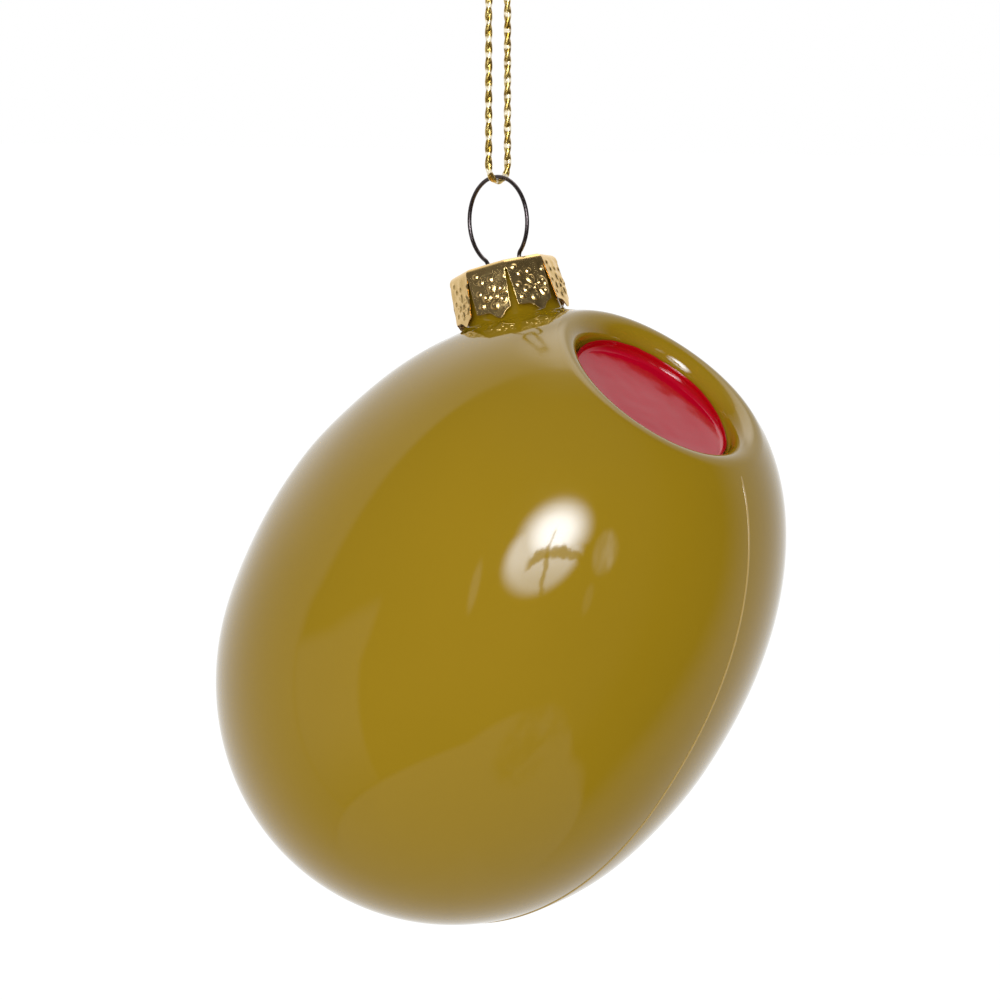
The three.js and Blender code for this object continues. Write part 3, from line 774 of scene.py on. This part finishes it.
ENAMEL_EDGE_RADIUS = RECESS_FLOOR_RADIUS - 0.02
ENAMEL_UNDER = RECESS_FLOOR + 0.06
ENAMEL_SURFACE = RECESS_FLOOR + 0.65
ENAMEL_DISH, ENAMEL_DISH_FROM = 0.42, 4.5  # rise of the pool towards its edge, and where it starts
ENAMEL_LOW, ENAMEL_CREEP, ENAMEL_CREEP_AT, ENAMEL_CREEP_REACH = RECESS_FLOOR + 1.5, 0.7, 45, 75
ENAMEL_CORNER, ENAMEL_WAVE, ENAMEL_LEAN = 0.35, 0.02, 0.25
ENAMEL_COLUMNS, POOL_RINGS = 200, 40


def enamel_mesh():
    angles, around = spokes(ENAMEL_COLUMNS)
    rings = []

    def ring(radius, height):
        radius, height = (np.broadcast_to(v, ENAMEL_COLUMNS)[:, None] for v in (radius, height))
        rings.append(around * radius + LONG * height)

    def dish(radius):
        share = np.clip((radius - ENAMEL_DISH_FROM) / (RECESS_FLOOR_RADIUS - ENAMEL_DISH_FROM), 0, 1)
        return ENAMEL_DISH * share ** 2

    def rough(scale, seed):
        places = [Vector((math.cos(a) * scale, math.sin(a) * scale, seed)) for a in angles]
        return np.array([noise.noise(place) for place in places])

    off = np.abs((np.degrees(angles) - ENAMEL_CREEP_AT + 180) % 360 - 180) / ENAMEL_CREEP_REACH
    crest = ENAMEL_LOW + ENAMEL_CREEP * np.exp(-off ** 4) + 0.12 * rough(1.6, 3.0) + 0.08 * rough(6, 9.0)
    wall = ENAMEL_EDGE_RADIUS + ENAMEL_LEAN * (crest - RECESS_FLOOR) / RECESS_DEPTH
    spread = ENAMEL_CORNER + 0.4 * np.exp(-off ** 2) + 0.3 * rough(2.6, 5.0)
    foot = ENAMEL_EDGE_RADIUS - 0.05

    # Out along the recess's floor and up its wall
    for radius in np.linspace(0, ENAMEL_EDGE_RADIUS - RECESS_FILLET, 6):
        ring(radius, ENAMEL_UNDER)
    for turn in np.linspace(-math.pi / 2, 0, 7)[1:]:
        ring(
            ENAMEL_EDGE_RADIUS - RECESS_FILLET * (1 - math.cos(turn)),
            ENAMEL_UNDER + RECESS_FILLET * (1 + math.sin(turn)),
        )
    ring(wall, crest - 0.06)
    ring(wall - 0.05, crest)

    # Back down from the crest in a hollow curve, and in over the pool
    for t in np.linspace(0, 1, 18)[1:]:
        start, turn, end = (1 - t) ** 2, 2 * t * (1 - t), t ** 2
        radius = start * (wall - 0.12) + turn * foot + end * (foot - spread)
        level = ENAMEL_SURFACE + dish(foot - spread) + turn * 0.05
        ring(radius, start * (crest - 0.03) + (turn + end) * level)
    for t in np.linspace(1, 0, POOL_RINGS)[1:]:
        ring((foot - spread) * t, ENAMEL_SURFACE + dish((foot - spread) * t))
    points = np.array(rings)
    for row in points[-POOL_RINGS:]:
        row += [LONG * ENAMEL_WAVE * noise.noise(Vector(place * 0.5)) for place in row]
    points[-1] = points[-1].mean(axis=0)
    return points.reshape(-1, 3) + OLIVE_CENTRE, grid_faces(len(points), ENAMEL_COLUMNS, closed=True)


pimento = mesh_object("pimento_pool", *enamel_mesh(), crease=50)
finished(pimento, red_enamel(ENAMEL_SURFACE + ENAMEL_DISH), "glass", "red_enamel", "pimento_enamel")


# Crown cap, stamped from one sheet

PETALS = 8
HALF_PETAL = math.pi / PETALS
CAP_SHEET = 0.13
CAP_TOP_RADIUS, CAP_SKIRT_RADIUS, CAP_HEIGHT, CAP_FOLD = 6.55, 7.2, 5.8, 0.85
FLARE = math.atan2(CAP_SKIRT_RADIUS - CAP_TOP_RADIUS, CAP_HEIGHT)
SLIT_TOP, SLIT_TOP_WIDTH, SLIT_FOOT_WIDTH = 1.0, 0.24, 1.0
CAP_TURN = math.radians(-6.4)
SLOT_LENGTH, SLOT_WIDTH, LEG_SPACING = 2.6, 1.3, 6.2
TAB_DROP, TAB_REACH, TAB_CLEARANCE, TAB_RADIUS = 0.95, 0.8, 0.1, 6.75
PETAL_COLUMNS, PETAL_ROWS, FOLD_ROWS = 68, 80, 9

# Stamped rosette and dots, as shares of a petal's width and height, with radii and heights in mm
PETAL_RADIUS = 6.85
PETAL_WIDTH = 2 * PETAL_RADIUS * math.sin(HALF_PETAL)
ROSETTE = (0.62, 0.69)
ROSETTE_X = (ROSETTE[0] - 0.5) * PETAL_WIDTH
ROSETTE_PETALS, ROSETTE_RING, ROSETTE_PETAL_RADIUS, ROSETTE_TURN = 5, 1.08, 0.6, math.radians(36)
ROSETTE_BOSS = 0.36
DOTS = ((0.23, 0.2), (0.33, 0.35), (0.23, 0.57), (0.25, 0.83), (0.92, 0.33), (0.9, 0.64), (0.56, 0.33))
DOT_RADIUS, EMBOSS, DOT_RISE = 0.34, 0.22, 0.13
STAMPED_FROM, STAMPED_FADE = 0.7, 0.35
EDGE_ROUND, BULGE, WAVE, CORNER_TRIM = 0.03, 0.05, 0.11, 0.14


def cap_points(points):
    """From the cap's own frame to the hanging bauble's."""
    x, y, z = np.moveaxis(np.asarray(points, float), -1, 0)[..., None]
    return CAP_TOP + x * NECK_ACROSS + y * SIDE + (z - CAP_SET) * NECK


def dome(off):
    return np.sqrt(np.clip(1 - off ** 2, 0, 1))


def emboss(x, depth):
    """Height of the stamping at a place on a petal: x from its middle, depth below the cap's top."""
    height = np.zeros_like(x)
    right, down = x - ROSETTE_X, depth - ROSETTE[1] * CAP_HEIGHT

    # Each of the rosette's petals widens outwards and is dished in its middle
    for i in range(ROSETTE_PETALS):
        angle = ROSETTE_TURN + TAU * i / ROSETTE_PETALS
        outwards = (right * math.cos(angle) - down * math.sin(angle) - ROSETTE_RING) / ROSETTE_PETAL_RADIUS
        sideways = (right * math.sin(angle) + down * math.cos(angle)) / ROSETTE_PETAL_RADIUS
        off = np.hypot(outwards, sideways / (0.8 + 0.35 * np.clip(outwards, -1, 1)))
        raised = (1 - np.clip(off, 0, 1) ** 3) - 0.75 * np.exp(-((off / 0.5) ** 2))
        height = np.maximum(height, EMBOSS * raised)
    height = np.maximum(height, EMBOSS * 0.8 * dome(np.hypot(right, down) / ROSETTE_BOSS))
    for share_x, share_d in DOTS:
        off = np.hypot(x - (share_x - 0.5) * PETAL_WIDTH, depth - share_d * CAP_HEIGHT) / DOT_RADIUS
        height = np.maximum(height, DOT_RISE * dome(off))
    return height


def crown_profile():
    """Corner radius and height of the sheet's outside, from the flat top over the fold to the foot."""
    fold = arc_points((CAP_TOP_RADIUS - CAP_FOLD, -CAP_FOLD), CAP_FOLD, math.pi / 2, FLARE, FOLD_ROWS)
    reach, height = fold[-1]
    even = np.linspace(0, 1, PETAL_ROWS)[1:]
    down = (0.5 * np.sin(even * math.pi / 2) + 0.5 * even) * (CAP_HEIGHT + height)
    return np.vstack((fold, np.stack((reach + math.tan(FLARE) * down, height - down), -1)))


def slit_half(depth):
    """Half the width of the slit at a corner."""
    below = np.clip((depth - SLIT_TOP) / (CAP_HEIGHT - SLIT_TOP), 0, 1)
    opening = np.sqrt(np.clip((depth - SLIT_TOP) / 0.25, 0, 1))
    return opening * (SLIT_TOP_WIDTH + (SLIT_FOOT_WIDTH - SLIT_TOP_WIDTH) * below) / 2


def petal(number):
    """Outside of one petal with its share of the fold, in the cap's frame."""
    middle = CAP_TURN + HALF_PETAL + TAU * number / PETALS
    cosine, sine = math.cos(middle), math.sin(middle)
    even = np.linspace(-1, 1, PETAL_COLUMNS + 1)
    share = 0.6 * np.sin(even * math.pi / 2) + 0.4 * even
    profile = crown_profile()
    straight = profile[FOLD_ROWS - 1, 1]
    skin = skin_height(np.array([middle + ROSETTE_X / CAP_SKIRT_RADIUS]), TAB_RADIUS)[0]
    drop = min(TAB_DROP, CAP_TOP_HEIGHT - CAP_SET - skin - CAP_HEIGHT - TAB_CLEARANCE)
    rows = []
    for radius, height in profile:
        depth = -height
        half = radius * math.sin(HALF_PETAL) - slit_half(depth) / math.cos(HALF_PETAL)
        x = share * half
        down = np.clip((depth + straight) / (CAP_HEIGHT + straight), 0, 1)
        tab = drop * np.exp(-np.abs((x - ROSETTE_X) / TAB_REACH) ** 2.2)
        corner = CORNER_TRIM * np.abs(share) ** 8
        depth_here = depth + (tab - corner) * down ** 2
        apothem = (radius + math.tan(FLARE) * (depth_here - depth)) * math.cos(HALF_PETAL)
        from_edge = np.minimum(half - np.abs(x), CAP_HEIGHT + tab - corner - depth_here)
        inside = np.clip((from_edge - 0.05) / 0.2, 0, 1)
        places = [Vector((a * 0.75, d * 0.6, number * 7.3)) for a, d in zip(x, depth_here)]
        wave = np.array([noise.noise(place) for place in places])
        on_side = np.clip((depth - STAMPED_FROM) / STAMPED_FADE, 0, 1)
        rise = on_side * (emboss(x, depth_here) * inside + BULGE * (1 - share ** 2) + WAVE * wave)
        near = np.clip(1 - from_edge / EDGE_ROUND, 0, 1)
        rise -= np.clip((depth - SLIT_TOP) / 0.3, 0, 1) * EDGE_ROUND * (1 - np.sqrt(1 - near ** 2)) * 0.9
        out = apothem + rise
        rows.append(np.stack((cosine * out - sine * x, sine * out + cosine * x, -depth_here), -1))
    return np.array(rows)


def slot_outline(side):
    """Points round the slot for one leg of the wire, in the cap's frame."""
    turn = np.array((math.cos(HOLE_TURN), math.sin(HOLE_TURN), 0))
    square = np.array((-turn[1], turn[0], 0))
    half = (SLOT_LENGTH - SLOT_WIDTH) / 2
    return np.array([
        turn * (side * LEG_SPACING / 2 + centre + SLOT_WIDTH / 2 * math.cos(angle))
        + square * SLOT_WIDTH / 2 * math.sin(angle)
        for centre, start in ((half, -math.pi / 2), (-half, math.pi / 2))
        for angle in np.linspace(start, start + math.pi, 16)
    ])


def cap_mesh():
    petals = [petal(i) for i in range(PETALS)]
    loops = [np.vstack([rows[0][:-1] for rows in petals]), slot_outline(-1), slot_outline(1)]
    points = np.vstack(loops)[:, :2]
    edges, start = [], 0
    for loop in loops:
        edges += [(start + i, start + (i + 1) % len(loop)) for i in range(len(loop))]
        start += len(loop)
    result = geometry.delaunay_2d_cdt([Vector(p) for p in points], edges, [], 0, 1e-7)
    found, triangles = result[0], result[2]
    ends = points[np.array(edges)]
    plate = [tuple(t) for t in triangles if enclosed(np.mean([found[i] for i in t], axis=0), ends)]
    parts = [(rows.reshape(-1, 3), grid_faces(*rows.shape[:2])) for rows in petals]
    points, faces = joined(parts + [(np.array([(*v, 0) for v in found]), plate)])
    return cap_points(points), faces


def thickened(piece, thickness):
    """The sheet with its real thickness, on the inner side."""
    solid = piece.modifiers.new("sheet", "SOLIDIFY")
    solid.thickness = thickness * MM
    solid.offset = -1
    graph = bpy.context.evaluated_depsgraph_get()
    mesh = bpy.data.meshes.new_from_object(piece.evaluated_get(graph))
    piece.modifiers.clear()
    piece.data = mesh
    mesh.set_sharp_from_angle(angle=math.radians(48))
    return piece


crown = thickened(mesh_object("crown_cap", *cap_mesh(), weld=1e-3), CAP_SHEET)
finished(crown, GOLD, "cap", "gold_sheet", "cap_crown")


# Spring wire

WIRE_DIAMETER, WIRE_STEPS, WIRE_SIDES = 0.5, 420, 20
LOOP_RADIUS, LOOP_RISE, LOOP_SHIFT = 5.3, 5.15, 0.92
LEG_AT = {-1: -2.4, 1: 3.45}  # where the legs pass through the cap
LEG_TIP = {-1: -2.45, 1: 3.85}
LEG_LENGTH, KNEE = 9.6, 0.28


def wire_points(points):
    """From the wire's own frame, X along the slots and Z up the loop, to the hanging bauble's."""
    turn = (
        Matrix.Rotation(-NECK_TILT, 3, "Y") @ Matrix.Rotation(HOLE_TURN, 3, "Z")
        @ Matrix.Rotation(HANGER_TILT, 3, "X")
    )
    return np.array([CAP_TOP + np.array(turn @ Vector(p)) for p in points])


def wire_route():
    def loop_height(x):
        return LOOP_RISE - math.sqrt(LOOP_RADIUS ** 2 - (x - LOOP_SHIFT) ** 2)

    def leg(side):
        x, tip = LEG_AT[side], LEG_TIP[side]
        knee = loop_height(x)
        return [
            (tip, 0, -LEG_LENGTH), ((tip + x) / 2, 0, -LEG_LENGTH / 2),
            (x, 0, -CAP_SHEET - KNEE), (x, 0, knee - KNEE),
        ]

    def end(side):
        return math.atan2(loop_height(LEG_AT[side]) - LOOP_RISE, LEG_AT[side] - LOOP_SHIFT)

    ends = end(-1) + TAU - KNEE / LOOP_RADIUS, end(1) + KNEE / LOOP_RADIUS
    loop = [(x, 0, z) for x, z in arc_points((LOOP_SHIFT, LOOP_RISE), LOOP_RADIUS, *ends, 60)]
    return leg(-1) + loop + leg(1)[::-1]


wire_path, _ = smooth_route(wire_points(wire_route()), WIRE_STEPS)
wire = mesh_object("spring_loop", *swept(wire_path, WIRE_DIAMETER / 2, WIRE_SIDES), crease=60)
finished(wire, STEEL, "hanger", "spring_wire", "hanger_wire")


# Floor and surroundings

FLOOR_LEVEL, FLOOR_REACH = -0.30, 12.0  # metres
FLOOR_COLOUR, FLOOR_GLOW, FLOOR_GLOW_SHARE = (0.92, 0.92, 0.92, 1), 1.2, 0.7
WHITE = (1, 1, 1, 1)


def floor_material():
    """Pale and matte, with a glow of its own where the camera sees it. Gloss doesn't see the floor."""
    material = bpy.data.materials.new("floor")
    material.use_nodes = True
    tree = material.node_tree
    tree.nodes.clear()
    rays = add_node(tree, "LightPath").outputs
    seen = maths(tree, "MAXIMUM", rays["Is Camera Ray"], rays["Is Transmission Ray"])
    matte = add_node(tree, "BsdfDiffuse", {"Color": FLOOR_COLOUR})
    glow = add_node(tree, "Emission", {"Color": WHITE, "Strength": FLOOR_GLOW})
    share = maths(tree, "MULTIPLY", seen, FLOOR_GLOW_SHARE)
    mix = add_node(tree, "MixShader", {0: share, 1: matte.outputs[0], 2: glow.outputs[0]})
    add_node(tree, "OutputMaterial", {"Surface": mix.outputs[0]})
    return material


corners = [(x * FLOOR_REACH, y * FLOOR_REACH, FLOOR_LEVEL) for x, y in ((-1, -1), (1, -1), (1, 1), (-1, 1))]
floor_mesh = bpy.data.meshes.new("floor")
floor_mesh.from_pydata(corners, [], [(0, 1, 2, 3)])
floor = bpy.data.objects.new("floor", floor_mesh)
bpy.context.scene.collection.objects.link(floor)
floor.data.materials.append(floor_material())
floor.visible_glossy = False

# What the gloss sees, by azimuth to the right of the camera's direction and elevation, in degrees.
# An oval has its middle, its reach, and the shares of its reach between which it fades out.
OVERHEAD = (150, 68)
SOFTBOX_CORE, SOFTBOX_PANEL = ((0.8, 6.2), (11.5, 9.8), 0.28, 1.65), ((-2.5, -1), (15.3, 13.2), 0.8, 1.2)
BESIDE, FAR_BESIDE = ((24.5, -4.5), (6, 8.5), 0.6, 1.2), ((-28, -6), (2, 9), 0.5, 1.2)
BELOW, TABLE_SHADE = ((20.5, -20), (2.5, 6), 0.5, 1.2), ((22, -56), (22, 12), 0.7, 1.15)
CORE_LEVEL, PANEL_LEVEL, PANEL_RISE = 23, 5.3, 4.2
OVERHEAD_LEVEL, FAR_BESIDE_LEVEL, BELOW_LEVEL = 1.5, 0.9, 0.5
SOFTBOX_TINT = (0.91, 0.98, 1.08, 1)
DIFFUSE_LEVEL = 0.62


def from_camera(azimuth, elevation):
    """The direction at angles in degrees from the camera's."""
    azimuth, elevation = math.radians(azimuth), math.radians(elevation)
    level = VIEW_BACK * math.cos(azimuth) + VIEW_RIGHT * math.sin(azimuth)
    return level * math.cos(elevation) + VIEW_UP * math.sin(elevation)


def studio_world():
    """White round the object, and for its gloss a dim room: softbox, window, table and pale sweep."""
    world = bpy.data.worlds.new("studio")
    bpy.context.scene.world = world
    world.use_nodes = True
    tree = world.node_tree
    tree.nodes.clear()
    direction = add_node(tree, "TexCoord").outputs["Generated"]
    towards = functools.partial(against, tree, "DOT_PRODUCT", direction)
    grain = functools.partial(speckle, tree, vector=direction)
    fade, scale = functools.partial(step, tree), functools.partial(scaled, tree)
    plus, product, most = (functools.partial(all_by, tree, name) for name in ("ADD", "MULTIPLY", "MAXIMUM"))

    def between(value, low, high, soft):
        return product(fade(value, low - soft, low + soft), fade(value, high + soft, high - soft))

    def oval(centre, reach, inner, outer):
        """1 inside an oval of directions, 0 outside it."""
        across = scale(azimuth, 1 / reach[0], -centre[0] / reach[0])
        upright = scale(elevation, 1 / reach[1], -centre[1] / reach[1])
        squared = plus(product(across, across), product(upright, upright))
        return fade(maths(tree, "SQRT", squared), outer, inner)

    def band(value, middle, half):
        """1 where a value lies near another, with soft sides."""
        off = maths(tree, "ABSOLUTE", maths(tree, "SUBTRACT", value, middle))
        return fade(off, half * 1.5, half * 0.6)

    rightwards, upwards, backwards = towards(VIEW_RIGHT), towards(VIEW_UP), towards(VIEW_BACK)
    azimuth = scale(maths(tree, "ARCTAN2", rightwards, backwards), 180 / math.pi)
    elevation = scale(maths(tree, "ARCSINE", upwards), 180 / math.pi)
    leftwards = scale(azimuth, -1)
    blur = scale(grain(scale=14, detail=3, roughness=0.6), 1, -0.5)

    # The pale sweep behind the object, dimmer low down, and a pale patch overhead
    left_rear = product(
        fade(leftwards, 87, 94), scale(fade(leftwards, 92, 165), 0.55, 0.48),
        scale(fade(elevation, 24, 46), 0.3, 1),
    )
    right_rear = product(fade(azimuth, 84, 116), scale(fade(azimuth, 112, 170), 0.42, 0.64))
    sweep = product(most(left_rear, right_rear), scale(fade(elevation, -8, -66), -0.53, 1))
    overhead = scale(fade(towards(from_camera(*OVERHEAD)), 0.891, 0.996), OVERHEAD_LEVEL)

    # The room in front: a window to the left, a table below and a pale ceiling
    room = scale(fade(azimuth, 38, 64), -0.07, 0.12)
    window = product(
        between(azimuth, -92, -62, 2), between(elevation, -50, 1, 3.5),
        scale(fade(elevation, -22, -50), -0.22, 0.46),
    )
    ceiling = scale(fade(elevation, 58, 96), 0.5)
    table_edge = scale(fade(azimuth, 18, 60), -12, -49)
    shade = product(oval(*TABLE_SHADE), fade(grain(scale=9, detail=3, roughness=0.65), 0.35, 0.6))
    table = product(
        fade(maths(tree, "SUBTRACT", elevation, table_edge), 1.5, -1.5), scale(shade, -0.24, 0.46))

    # The softbox, with something slender standing in front of it, and dim patches beside it
    highlight = product(oval(*SOFTBOX_CORE), fade(plus(elevation, scale(blur, 3)), -2.5, 0.5))
    panel = product(oval(*SOFTBOX_PANEL), scale(fade(elevation, -13, 1), PANEL_RISE, PANEL_LEVEL))
    across = scale(azimuth, 1, -0.3)
    arch = scale(product(across, across), -0.03, -0.8)
    branch = product(band(plus(elevation, scale(blur, 7)), arch, 1.8), between(azimuth, -9, 17, 1.5))
    stem = product(band(plus(azimuth, scale(blur, 5)), -1.1, 0.9), between(elevation, -16, -1, 1))
    twig = product(band(plus(azimuth, scale(elevation, -0.3)), -1.5, 0.45), between(elevation, 0, 7, 0.8))
    softbox = product(
        most(scale(highlight, CORE_LEVEL), panel),
        scale(branch, -0.82, 1), scale(stem, -0.75, 1), scale(twig, -0.5, 1),
    )
    streaks = fade(grain(scale=10, roughness=0.6, stretch=(1, 1, 0.35)), 0.35, 0.6)
    beside = product(oval(*BESIDE), scale(streaks, 1.3, 1.0))
    far_beside = product(oval(*FAR_BESIDE), FAR_BESIDE_LEVEL)
    below = product(oval(*BELOW), BELOW_LEVEL)
    room = most(room, plus(sweep, overhead), window, ceiling, table, softbox, beside, far_beside, below)

    # White for the camera, the room for gloss, and an even light for the rest
    rays = add_node(tree, "LightPath").outputs
    glossy = rays["Is Glossy Ray"]
    level = plus(scale(upwards, 0.08), scale(rightwards, -0.06), DIFFUSE_LEVEL)

    def mixed(factor, first, second):
        return scale(factor, maths(tree, "SUBTRACT", second, first), first)

    seen = most(rays["Is Camera Ray"], rays["Is Transmission Ray"])
    tint = product(glossy, fade(softbox, 0.5, 3.0))
    background = add_node(tree, "Background", {
        "Color": blend_colours(tree, tint, WHITE, SOFTBOX_TINT),
        "Strength": mixed(seen, mixed(glossy, level, room), 1.0),
    })
    add_node(tree, "OutputWorld", {"Surface": background.outputs[0]})


studio_world()

# The softbox as a lamp, for what isn't gloss: half angles in degrees, distance in metres
LAMP_AT, LAMP_HALF, LAMP_DISTANCE, LAMP_RADIANCE = (-8, 8), (20, 17), 1.0, 3.9

way = from_camera(*LAMP_AT)
upright = unit(VIEW_UP - way * VIEW_UP.dot(way))
lamp_data = bpy.data.lights.new("softbox", "AREA")
lamp_data.shape = "ELLIPSE"
lamp_data.size, lamp_data.size_y = (2 * LAMP_DISTANCE * math.tan(math.radians(half)) for half in LAMP_HALF)
lamp_data.energy = LAMP_RADIANCE * math.pi ** 2 * lamp_data.size * lamp_data.size_y / 4
lamp = bpy.data.objects.new("softbox", lamp_data)
stand(lamp, np.cross(upright, way), upright, way, OLIVE_CENTRE * MM + way * LAMP_DISTANCE)
lamp.visible_camera = False
lamp.visible_glossy = False

bpy.context.scene.view_settings.view_transform = "Standard"
